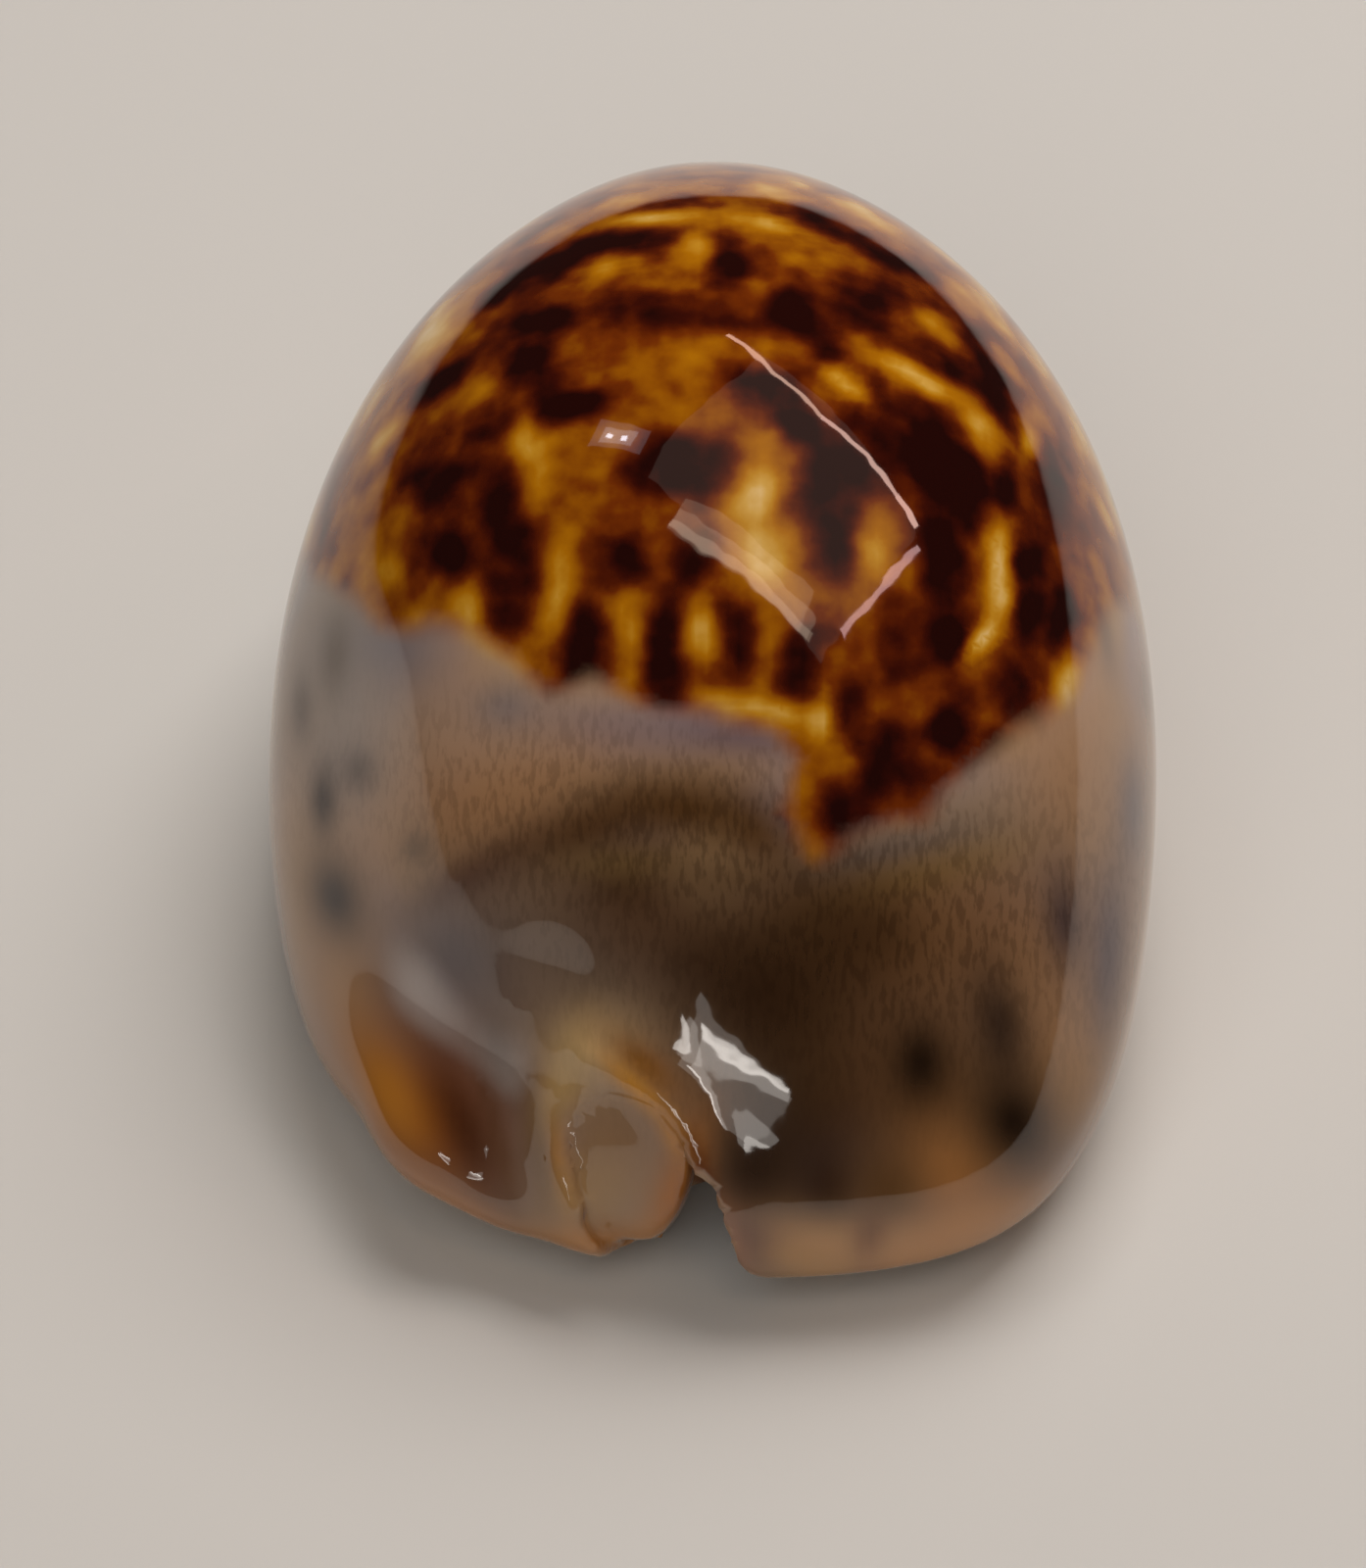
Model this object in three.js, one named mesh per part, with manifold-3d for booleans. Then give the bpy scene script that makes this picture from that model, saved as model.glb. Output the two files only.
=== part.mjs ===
// Cowry shell, one piece, in mm: +Y the front (canal) end, -Y the spire end, +Z the back,
// +X the outer lip. The shell rests on the flat of its base, either side of the aperture.
import * as THREE from "three";
import { mergeVertices } from "three/addons/utils/BufferGeometryUtils.js";
import Module from "manifold-3d";

// Outside of the shell: polynomials in t = y / halfLength, constant first
const BODY = {
  halfLength: 35.45,
  spirePower: 2.02,
  frontPower: 2.1,
  backPower: 2.08,
  basePower: 2.8,
  shoulderBlend: 5.0,
  halfWidth: [24.43, -2.94, -1.54, -9.05],
  centreX: [-0.02, 0.46, 0.56, -1.86],
  backHeight: [27.93, 2.0, -9.48, 1.74],
  baseDepth: [10.9, 1.4, -2.4],
  centreZ: [10.5, 2.75, -2.9],
};

// Hollow inside the shell, in the same terms: about 2.2 mm of wall at the back, 5 mm in the base
const CAVITY = {
  halfLength: 32.0,
  spirePower: 2.02,
  frontPower: 2.1,
  backPower: 2.1,
  basePower: 2.6,
  shoulderBlend: 4.0,
  halfWidth: [21.2, -2.6, -1.4, -7.9],
  centreX: [-0.02, 0.46, 0.56, -1.86],
  backHeight: [25.6, 1.9, -8.8, 1.6],
  baseDepth: [5.6, 0.6, -1.0],
  centreZ: [10.7, 2.6, -2.6],
};

// Aperture: a long curved slit with rounded, toothed lips
const APERTURE_X = [5.7, 0.4, -5.2, 0.35, 0.6];
const APERTURE_HALF_WIDTH = [1.7, 0.35];
const SPIRE_LEAN = 0.4;
const SPIRE_LEAN_FROM_Z = 3.0;
const SPIRE_LEAN_OVER = 12;
const SPIRE_LEAN_FROM_Y = -29.0;
const SPIRE_LEAN_BLEND = 3.0;
const TOOTH_PITCH = 2.3;
const LABRAL_TOOTH = 0.8;
const COLUMELLAR_TOOTH = 0.62;
const TEETH_FROM_Y = -28.5;
const TEETH_TO_Y = 29.5;
const TEETH_FADE = 1.5;
const TOOTH_SHARPNESS = 1.5;
const INNER_TEETH_LEAST = 0.25;
const INNER_TEETH_FROM_Y = -6;
const INNER_TEETH_BLEND = 6;
const SLIT_ROOF_Z = 9.0;
const SPIRE_CANAL_ROOF_Z = 10.4;
const FRONT_CANAL_ROOF_Z = 10.2;
const CANAL_END_Y = 34.6;
const SPIRE_CANAL_SLOPE = 0.8;
const FRONT_CANAL_SLOPE = 0.55;
const LIP_BASE_LIMIT_Z = 6.0;
const LIP_BASE_SEARCH = 0.05;
const LEAST_SLIT_HEIGHT = 5;
const SLIT_ROOF_FLARE = 0.3;
const SLIT_OVERRUN = 6;

// Lip in cross-section, upwards: [height above the base, flare, share of the teeth]
const LIP_PROFILE = [
  [-1.5, 3.5, 0],
  [0, 2.3, 0],
  [0.31, 1.15, 0.5],
  [1.15, 0.31, 1],
  [2.3, 0, 1],
  [4.2, 0, 0.7],
];

// Rounded end pieces: [centre, radii]
const FRONT_LOBES = [
  [[-3.8, 30.3, 7.0], [4.4, 5.4, 5.0]],
  [[5.2, 30.2, 7.0], [4.2, 5.6, 5.0]],
];
const LOBE_BLEND = 3.0;
const CANAL_POCKETS = [
  [[-4.05, -30.5, 7.65], [4.15, 5.0, 5.85]],
  [[-2.5, -35.8, 1.8], [3.6, 4.5, 5.0]],
  [[-0.5, -31.5, 3.2], [1.8, 5.2, 6.7]],
];
const KNOB = [[-4.2, -30.0, 9.2], [3.7, 5.0, 7.0]];

// How far the knob's face lies under the skin: more towards the base, so that it stands steep
const KNOB_SINK = 0.3;
const KNOB_SINK_SLOPE = 0.1;
const KNOB_SINK_FROM_Z = 14;
const KNOB_SINK_OVER = 9;

// Soft swellings of the skin at the spire end: [centre, height, spread]
const SWELLINGS = [
  [[-15.2, -29.4, 8.2], 1.7, 3.0],
  [[14.5, -31.5, 7.5], 0.6, 4.0],
  [[-11.0, -29.2, 14.1], 0.2, 0.8],
];

// Folds of the skin at the spire end, raised (plus) or sunk (minus)
const FOLDS = [
  {
    path: [[-8.4, -27.4, 18.0], [-8.8, -28.7, 16.2], [-10.5, -30.1, 13.0], [-11.3, -31.7, 8.8]],
    height: -1.2,
    spread: 1.6,
  },
  {
    path: [[-4.5, -34.5, 3.2], [-8.5, -33.4, 2.8]],
    height: -0.5,
    spread: 2.0,
  },
  {
    path: [[-14.5, -30.0, 2.0], [-18.5, -26.5, 2.5]],
    height: -0.8,
    spread: 2.6,
  },
  {
    path: [[-20.6, -14.0, 20.8], [-19.3, -18.5, 18.5], [-17.8, -22.8, 16.0], [-13.6, -27.0, 14.6]],
    height: -2.0,
    spread: 5.0,
  },
  {
    path: [[-17.3, -25.8, 13.5], [-14.6, -28.4, 12.1], [-11.8, -30.0, 11.6]],
    height: -1.5,
    spread: 2.3,
  },
  {
    path: [[-6.6, -29.8, 15.1], [-4.8, -30.3, 14.8], [-3.6, -30.8, 14.2], [-2.6, -31.4, 13.5],
      [-1.7, -32.1, 12.5], [-1.0, -32.8, 11.5], [-0.5, -33.6, 10.1], [0.2, -34.5, 8.2]],
    height: 0.45,
    spread: 0.9,
  },
];

// Facets
const SKIN_RINGS = 44;
const SKIN_SIDES = 54;
const HOLLOW_RINGS = 18;
const HOLLOW_SIDES = 20;
const KNOB_RINGS = 12;
const KNOB_SIDES = 18;
const STATIONS_PER_TOOTH = 4;
const RING_CROWDING = 0.32;
const RING_BIAS = 1.15;
const PRESSED_RINGS = 30;
const PRESSED_SIDES = 36;
const SPINE_SHARE = 0.52;
const SPINE_LIFT = 1;
const REACH_STEPS = 24;

// Limits that keep the egg-like form's formula sound past its ends and at its middle
const END_LIMIT = 1.15;
const POWER_BLEND = 0.25;
const SPECK = 1e-6;
const LEAST_SLOPE = 1 / 45;

const SHELL_COLOUR = 0xb98a4c;
const WELD = 1e-4;
const GROUND_DEPTH = 20;

const wasm = await Module();
wasm.setup();

function polynomial(terms, t) {
  return terms.reduceRight((sum, term) => sum * t + term, 0);
}

function step(x) {
  return 0.5 + 0.5 * Math.tanh(x);
}

function smoothMin(a, b, k) {
  const h = Math.max(k - Math.abs(a - b), 0) / k;
  return Math.min(a, b) - (h * h * k) / 4;
}

// Signed distance, near enough, to the egg-like form given by polynomials
function egg(form, [x, y, z]) {
  const t = y / form.halfLength;
  const s = THREE.MathUtils.clamp(t, -END_LIMIT, END_LIMIT);
  const halfWidth = polynomial(form.halfWidth, s);
  const centreX = polynomial(form.centreX, s);
  const centreZ = polynomial(form.centreZ, s);
  const up = step((z - centreZ) / form.shoulderBlend);
  const depth = polynomial(form.baseDepth, s);
  const height = depth + (polynomial(form.backHeight, s) - depth) * up;
  const n = form.basePower + (form.backPower - form.basePower) * up;
  const u = Math.abs(x - centreX) / halfWidth + SPECK;
  const w = Math.abs(z - centreZ) / height + SPECK;
  const q = (u ** n + w ** n) ** (1 / n);
  const power = form.spirePower + (form.frontPower - form.spirePower) * step(t / POWER_BLEND);
  const r = Math.sqrt(q * q + Math.abs(t) ** power) + SPECK;
  const gx = ((q / r) * (u / q) ** (n - 1)) / halfWidth;
  const gz = ((q / r) * (w / q) ** (n - 1)) / height;
  const gy = (0.5 * power * (Math.abs(t) + SPECK) ** (power - 1)) / form.halfLength / r;
  return (r - 1) / Math.max(Math.hypot(gx, gy, gz), LEAST_SLOPE);
}

function ellipsoid([centre, radii], point) {
  const q = point.map((value, i) => (value - centre[i]) / radii[i]);
  const k0 = Math.hypot(...q) + SPECK;
  const k1 = Math.hypot(...q.map((value, i) => value / radii[i])) + SPECK;
  return (k0 * (k0 - 1)) / k1;
}

function bell(distance, spread) {
  return Math.exp(-0.5 * (distance / spread) ** 2);
}

function distanceToPath(path, point) {
  const here = new THREE.Vector3(...point);
  const nearest = new THREE.Vector3();
  let best = Infinity;
  for (let i = 1; i < path.length; i += 1) {
    const line = new THREE.Line3(new THREE.Vector3(...path[i - 1]), new THREE.Vector3(...path[i]));
    line.closestPointToPoint(here, true, nearest);
    best = Math.min(best, nearest.distanceTo(here));
  }
  return best;
}

function skin(point) {
  let f = egg(BODY, point);
  for (const lobe of FRONT_LOBES) {
    f = smoothMin(f, ellipsoid(lobe, point), LOBE_BLEND);
  }
  for (const [centre, height, spread] of SWELLINGS) {
    f -= height * bell(Math.hypot(...point.map((value, i) => value - centre[i])), spread);
  }
  for (const fold of FOLDS) {
    f -= fold.height * bell(distanceToPath(fold.path, point), fold.spread);
  }
  return f;
}

function hollow(point) {
  return egg(CAVITY, point);
}

// Skin pressed in, to which the knob reaches up
function pressedSkin(point) {
  const below = THREE.MathUtils.clamp(KNOB_SINK_FROM_Z - point[2], 0, KNOB_SINK_OVER);
  return skin(point) + KNOB_SINK + KNOB_SINK_SLOPE * below;
}

// Distance from an inside point to the surface of a field, outwards along a direction
function reach(field, origin, direction) {
  const at = (s) => field(origin.map((value, i) => value + direction[i] * s));
  let inner = 0;
  let outer = 1;
  while (at(outer) < 0) {
    inner = outer;
    outer += 1;
  }
  for (let i = 0; i < REACH_STEPS; i += 1) {
    const middle = (inner + outer) / 2;
    if (at(middle) < 0) {
      inner = middle;
    } else {
      outer = middle;
    }
  }
  return (inner + outer) / 2;
}

// Closed surface through rings of points, between a point at each end
function closedSurface(first, rings, last) {
  const sides = rings[0].length;
  const positions = [first, ...rings.flat(), last].flat();
  const index = [];
  const at = (ring, side) => 1 + ring * sides + (side % sides);
  const end = 1 + rings.length * sides;
  for (let side = 0; side < sides; side += 1) {
    index.push(0, at(0, side), at(0, side + 1));
    for (let ring = 1; ring < rings.length; ring += 1) {
      index.push(at(ring - 1, side), at(ring, side), at(ring, side + 1));
      index.push(at(ring - 1, side), at(ring, side + 1), at(ring - 1, side + 1));
    }
    index.push(end, at(rings.length - 1, side + 1), at(rings.length - 1, side));
  }
  const geometry = new THREE.BufferGeometry();
  geometry.setAttribute("position", new THREE.Float32BufferAttribute(positions, 3));
  geometry.setIndex(index);
  return geometry;
}

// Rays fan out from a line along the length, so that rings stay square to the skin
function wrapped(field, form, ringCount, sideCount) {
  const spine = SPINE_SHARE * form.halfLength;
  const pointAt = (theta, phi) => {
    const y = -spine * Math.cos(theta);
    const s = y / form.halfLength;
    const origin = [polynomial(form.centreX, s), y, polynomial(form.centreZ, s) + SPINE_LIFT];
    const direction = [Math.sin(theta) * Math.cos(phi), -Math.cos(theta), Math.sin(theta) * Math.sin(phi)];
    const length = reach(field, origin, direction);
    return origin.map((value, i) => value + direction[i] * length);
  };
  const rings = [];
  for (let ring = 1; ring <= ringCount; ring += 1) {
    const share = ring / (ringCount + 1);
    const crowded = share - (RING_CROWDING * Math.sin(2 * Math.PI * share)) / (2 * Math.PI);
    const theta = Math.PI * crowded ** RING_BIAS;
    const points = [];
    for (let side = 0; side < sideCount; side += 1) {
      points.push(pointAt(theta, (2 * Math.PI * side) / sideCount));
    }
    rings.push(points);
  }
  return closedSurface(pointAt(0, 0), rings, pointAt(Math.PI, 0));
}

function apertureX(y, z) {
  const spireShare = step((SPIRE_LEAN_FROM_Y - y) / SPIRE_LEAN_BLEND);
  const rise = THREE.MathUtils.clamp(z - SPIRE_LEAN_FROM_Z, 0, SPIRE_LEAN_OVER);
  return polynomial(APERTURE_X, y / BODY.halfLength) - spireShare * SPIRE_LEAN * rise;
}

function toothShape(y, phase) {
  const fade = step((TEETH_TO_Y - y) / TEETH_FADE) * step((y - TEETH_FROM_Y) / TEETH_FADE);
  return fade * (0.5 + 0.5 * Math.cos((2 * Math.PI * y) / TOOTH_PITCH + phase)) ** TOOTH_SHARPNESS;
}

function slitRoof(y) {
  const spire = SPIRE_CANAL_ROOF_Z - SPIRE_CANAL_SLOPE * (y + CANAL_END_Y);
  const front = FRONT_CANAL_ROOF_Z + FRONT_CANAL_SLOPE * (y - CANAL_END_Y);
  return Math.max(SLIT_ROOF_Z, y < 0 ? spire : front);
}

// Height of the base under the slit, where the lips round over
function lipBase(y) {
  const x = apertureX(y, 0);
  let z = -1;
  while (z < LIP_BASE_LIMIT_Z && skin([x, y, z]) > 0) {
    z += LIP_BASE_SEARCH;
  }
  return Math.max(z, 0);
}

// One cross-section of the slit: up the columellar wall, down the labral wall
function slitSection(y) {
  const halfWidth = polynomial(APERTURE_HALF_WIDTH, y / BODY.halfLength);
  const labral = LABRAL_TOOTH * toothShape(y, 0);
  const innerShare = step((y - INNER_TEETH_FROM_Y) / INNER_TEETH_BLEND);
  const fading = INNER_TEETH_LEAST + (1 - INNER_TEETH_LEAST) * innerShare;
  const columellar = COLUMELLAR_TOOTH * toothShape(y, Math.PI) * fading;
  const base = lipBase(y);
  const rows = LIP_PROFILE.map(([height, flare, share]) => [base + height, flare, share]);
  rows.push([Math.max(slitRoof(y), base + LEAST_SLIT_HEIGHT), SLIT_ROOF_FLARE, 0]);
  const inner = ([z, flare, share]) => [apertureX(y, z) - halfWidth - flare + columellar * share, y, z];
  const outer = ([z, flare, share]) => [apertureX(y, z) + halfWidth + flare - labral * share, y, z];
  return [...rows.map(inner), ...rows.map(outer).reverse()];
}

function slit() {
  const spacing = TOOTH_PITCH / STATIONS_PER_TOOTH;
  const count = Math.ceil((2 * BODY.halfLength + SLIT_OVERRUN) / spacing);
  const rings = [];
  for (let i = 0; i <= count; i += 1) {
    rings.push(slitSection((i - count / 2) * spacing));
  }
  const middle = (ring) => [0, 1, 2].map((axis) => ring.reduce((sum, p) => sum + p[axis], 0) / ring.length);
  return closedSurface(middle(rings[0]), rings, middle(rings[count]));
}

function rounded([centre, radii]) {
  const ball = new THREE.SphereGeometry(1, KNOB_SIDES, KNOB_RINGS);
  ball.scale(...radii);
  ball.translate(...centre);
  return ball;
}

function toSolid(geometry) {
  const bare = geometry.clone();
  bare.deleteAttribute("normal");
  bare.deleteAttribute("uv");
  const welded = mergeVertices(bare, WELD);
  const mesh = (triVerts) => new wasm.Mesh({
    numProp: 3,
    vertProperties: Float32Array.from(welded.attributes.position.array),
    triVerts: Uint32Array.from(triVerts),
  });
  const solid = new wasm.Manifold(mesh(welded.index.array));
  return solid.volume() > 0 ? solid : new wasm.Manifold(mesh(Array.from(welded.index.array).reverse()));
}

function toGeometry(solid) {
  const mesh = solid.getMesh();
  const geometry = new THREE.BufferGeometry();
  geometry.setAttribute("position", new THREE.BufferAttribute(Float32Array.from(mesh.vertProperties), 3));
  geometry.setIndex(new THREE.BufferAttribute(Uint32Array.from(mesh.triVerts), 1));
  return geometry;
}

const ground = new THREE.BoxGeometry(4 * BODY.halfLength, 4 * BODY.halfLength, GROUND_DEPTH);
ground.translate(0, 0, -GROUND_DEPTH / 2);

const pockets = CANAL_POCKETS.map((pocket) => toSolid(rounded(pocket)));
const pressed = toSolid(wrapped(pressedSkin, BODY, PRESSED_RINGS, PRESSED_SIDES));
const knob = toSolid(rounded(KNOB)).intersect(pressed);

const shellSolid = pockets
  .reduce((solid, pocket) => solid.subtract(pocket), toSolid(wrapped(skin, BODY, SKIN_RINGS, SKIN_SIDES)))
  .subtract(toSolid(ground))
  .subtract(toSolid(slit()))
  .add(knob)
  .subtract(toSolid(wrapped(hollow, CAVITY, HOLLOW_RINGS, HOLLOW_SIDES)));

// A chip between two cuts falls away
const largest = shellSolid.decompose().reduce((a, b) => (a.volume() > b.volume() ? a : b));

const shellGeometry = toGeometry(largest);
shellGeometry.computeBoundingBox();
const box = shellGeometry.boundingBox;
shellGeometry.translate(-(box.min.x + box.max.x) / 2, -(box.min.y + box.max.y) / 2, -box.min.z);
shellGeometry.computeVertexNormals();

const shell = new THREE.Mesh(
  shellGeometry,
  new THREE.MeshStandardMaterial({ color: SHELL_COLOUR, roughness: 0.2, metalness: 0 }),
);
shell.name = "shell";

const group = new THREE.Group();
group.add(shell);
export default group;
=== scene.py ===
"""Cowry shell, Zoila eludens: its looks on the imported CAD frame, in metres, +Z up, spire end at -Y.

Form and markings are worked out in millimetres and scaled once, when the mesh is made.
"""

import logging
import math
from dataclasses import dataclass
from enum import Enum
from typing import Optional, Sequence

import bpy
import numpy as np
from mathutils import Matrix, Vector

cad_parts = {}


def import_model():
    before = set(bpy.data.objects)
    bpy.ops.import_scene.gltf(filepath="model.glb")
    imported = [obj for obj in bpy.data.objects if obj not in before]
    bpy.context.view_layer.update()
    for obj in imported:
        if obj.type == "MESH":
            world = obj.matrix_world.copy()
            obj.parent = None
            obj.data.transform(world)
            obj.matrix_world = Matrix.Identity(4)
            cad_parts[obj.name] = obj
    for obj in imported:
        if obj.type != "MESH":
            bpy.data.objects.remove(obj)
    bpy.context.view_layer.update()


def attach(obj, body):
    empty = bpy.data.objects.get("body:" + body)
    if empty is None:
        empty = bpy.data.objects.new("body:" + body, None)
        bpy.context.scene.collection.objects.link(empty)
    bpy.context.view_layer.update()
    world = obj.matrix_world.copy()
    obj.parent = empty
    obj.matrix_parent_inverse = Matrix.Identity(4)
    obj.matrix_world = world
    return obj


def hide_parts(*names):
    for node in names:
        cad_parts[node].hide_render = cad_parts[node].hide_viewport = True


logging.basicConfig(level=logging.INFO, format="%(name)s: %(message)s")
LOG = logging.getLogger("cowry")

Array = np.ndarray
Point = tuple[float, float, float]
MM = 0.001
CELL_MM = 0.55
GRID_LOW: Point = (-26.5, -39.5, -1.2)
GRID_HIGH: Point = (26.5, 40.0, 40.5)
RANDOM_SEED = 4
# How fast a mark fades with the square of the distance from its middle.
MARK_FALLOFF = 0.58


def polynomial(terms: Sequence[float], t: Array) -> Array:
    """Value of a polynomial.

    Args:
        terms: Coefficients, constant first.
        t: Where to take it.

    Returns:
        The value at each t.
    """
    total = np.zeros_like(t)
    for term in reversed(terms):
        total = total * t + term
    return total


def step(x: Array) -> Array:
    """Smooth step from 0 to 1 round zero.

    Args:
        x: Distance from the middle of the step.

    Returns:
        The step's value.
    """
    return 0.5 + 0.5 * np.tanh(x)


def bell(distance: Array, spread: float) -> Array:
    """Bell curve of height 1.

    Args:
        distance: Distance from the middle.
        spread: Standard deviation.

    Returns:
        The curve's value.
    """
    return np.exp(-0.5 * (distance / spread) ** 2)


def smooth_max(a: Array, b: Array, k: Array | float) -> Array:
    """Larger of two distances, rounded where they meet.

    Args:
        a: First distance.
        b: Second distance.
        k: Width of the rounding.

    Returns:
        The rounded maximum.
    """
    h = np.maximum(k - np.abs(a - b), 0) / k
    return np.maximum(a, b) + h * h * k / 4


def smooth_min(a: Array, b: Array, k: Array | float) -> Array:
    """Smaller of two distances, rounded where they meet.

    Args:
        a: First distance.
        b: Second distance.
        k: Width of the rounding.

    Returns:
        The rounded minimum.
    """
    return -smooth_max(-a, -b, k)


@dataclass(frozen=True)
class EggForm:
    """Egg-like form given along its length by polynomials in t = y / half_length."""

    half_length: float
    spire_power: float
    front_power: float
    back_power: float
    base_power: float
    shoulder_blend: float
    half_width: tuple[float, ...]
    centre_x: tuple[float, ...]
    back_height: tuple[float, ...]
    base_depth: tuple[float, ...]
    centre_z: tuple[float, ...]

    def distance(self, points: Array) -> Array:
        """Signed distance to the form, near enough.

        Args:
            points: Points in mm, last axis x, y, z.

        Returns:
            Distance, negative inside.
        """
        x, y, z = points[..., 0], points[..., 1], points[..., 2]
        t = y / self.half_length
        s = np.clip(t, -1.15, 1.15)
        width = polynomial(self.half_width, s)
        centre_z = polynomial(self.centre_z, s)
        up = step((z - centre_z) / self.shoulder_blend)
        depth = polynomial(self.base_depth, s)
        height = depth + (polynomial(self.back_height, s) - depth) * up
        n = self.base_power + (self.back_power - self.base_power) * up
        u = np.abs(x - polynomial(self.centre_x, s)) / width + 1e-6
        w = np.abs(z - centre_z) / height + 1e-6
        q = (u**n + w**n) ** (1 / n)
        power = self.spire_power + (self.front_power - self.spire_power) * step(t / 0.25)
        r = np.sqrt(q * q + np.abs(t) ** power) + 1e-9
        gx = q / r * (u / q) ** (n - 1) / width
        gz = q / r * (w / q) ** (n - 1) / height
        gy = 0.5 * power * (np.abs(t) + 1e-9) ** (power - 1) / self.half_length / r
        slope = np.sqrt(gx * gx + gy * gy + gz * gz)
        return (r - 1) / np.maximum(slope, 1 / 45)


@dataclass(frozen=True)
class Ball:
    """Rounded lump or pocket, an ellipsoid."""

    centre: Point
    radii: Point

    def distance(self, points: Array) -> Array:
        """Signed distance to the ellipsoid, near enough.

        Args:
            points: Points in mm.

        Returns:
            Distance, negative inside.
        """
        q = (points - np.array(self.centre)) / np.array(self.radii)
        k0 = np.linalg.norm(q, axis=-1) + 1e-9
        k1 = np.linalg.norm(q / np.array(self.radii), axis=-1) + 1e-9
        return k0 * (k0 - 1) / k1


@dataclass(frozen=True)
class Swelling:
    """Soft swelling of the skin, or a dent where the height is negative."""

    path: tuple[Point, ...]
    height: float
    spread: float

    def lift(self, points: Array) -> Array:
        """How far the skin is pushed out.

        Args:
            points: Points in mm.

        Returns:
            Lift in mm at each point.
        """
        return self.height * bell(distance_to_path(points, self.path), self.spread)


def distance_to_path(points: Array, path: Sequence[Point]) -> Array:
    """Distance from points to a chain of straight pieces, or to one point.

    Args:
        points: Points in mm.
        path: Corners of the chain.

    Returns:
        Shortest distance for each point.
    """
    corners = np.array(path, float)
    best = np.linalg.norm(points - corners[0], axis=-1)
    for a, b in zip(corners[:-1], corners[1:]):
        along = b - a
        share = np.clip(((points - a) @ along) / (along @ along), 0, 1)
        best = np.minimum(best, np.linalg.norm(points - a - share[..., None] * along, axis=-1))
    return best


OUTSIDE = EggForm(
    half_length=35.45,
    spire_power=2.02,
    front_power=2.1,
    back_power=2.08,
    base_power=2.8,
    shoulder_blend=5.0,
    half_width=(24.43, -2.94, -1.54, -9.05),
    centre_x=(-0.02, 0.46, 0.56, -1.86),
    back_height=(27.93, 2.0, -9.48, 1.74),
    base_depth=(10.9, 1.4, -2.4),
    centre_z=(10.5, 2.75, -2.9),
)
HOLLOW = EggForm(
    half_length=32.0,
    spire_power=2.02,
    front_power=2.1,
    back_power=2.1,
    base_power=2.6,
    shoulder_blend=4.0,
    half_width=(21.2, -2.6, -1.4, -7.9),
    centre_x=(-0.02, 0.46, 0.56, -1.86),
    back_height=(25.6, 1.9, -8.8, 1.6),
    base_depth=(5.6, 0.6, -1.0),
    centre_z=(10.7, 2.6, -2.6),
)


@dataclass(frozen=True)
class Aperture:
    """Long curved slit of the base, with rounded, toothed lips."""

    centre_x: tuple[float, ...] = (5.7, 0.4, -5.2, 0.35, 0.6)
    half_width: tuple[float, ...] = (1.7, 0.35)
    half_length: float = 35.45
    spire_lean: float = 0.4
    lean_from_z: float = 3.0
    roof_z: float = 9.0
    spire_roof_z: float = 10.4
    front_roof_z: float = 10.2
    canal_end_y: float = 34.6
    spire_slope: float = 0.8
    front_slope: float = 0.55
    tooth_pitch: float = 2.3
    labral_tooth: float = 0.8
    columellar_tooth: float = 0.62
    teeth_from_y: float = -28.5
    teeth_to_y: float = 29.5

    def middle(self, y: Array, z: Array) -> Array:
        """Middle of the slit.

        Args:
            y: Place along the shell.
            z: Height.

        Returns:
            The x of the slit's middle.
        """
        lean = step((-y - 29.0) / 3.0) * self.spire_lean
        rise = np.clip(z - self.lean_from_z, 0, 12)
        return polynomial(self.centre_x, y / self.half_length) - lean * rise

    def tooth(self, y: Array, phase: float) -> Array:
        """Row of teeth, faded out at both ends.

        Args:
            y: Place along the shell.
            phase: Shift of the row, in radians.

        Returns:
            From 0 between teeth to 1 on a tooth.
        """
        fade = step((self.teeth_to_y - y) / 1.5) * step((y - self.teeth_from_y) / 1.5)
        wave = 0.5 + 0.5 * np.cos(2 * np.pi * y / self.tooth_pitch + phase)
        return fade * wave**1.5

    def distance(self, points: Array) -> Array:
        """Signed distance to the slit.

        Args:
            points: Points in mm.

        Returns:
            Distance, negative in the slit.
        """
        x, y, z = points[..., 0], points[..., 1], points[..., 2]
        side = x - self.middle(y, z)
        width = polynomial(self.half_width, y / self.half_length)
        depth = np.exp(-(np.maximum(z - 1.5, 0) / 3.8) ** 2)
        labral = self.labral_tooth * self.tooth(y, 0.0) * depth
        fading = 0.25 + 0.75 * step((y + 6) / 6)
        columellar = self.columellar_tooth * self.tooth(y, np.pi) * fading * depth
        wall = np.where(side > 0, side - width + labral, -side - width + columellar)
        spire = self.spire_roof_z - self.spire_slope * (y + self.canal_end_y)
        front = self.front_roof_z + self.front_slope * (y - self.canal_end_y)
        roof = z - np.maximum(self.roof_z, np.where(y < 0, spire, front))
        return smooth_max(wall, roof, 1.0)


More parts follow.
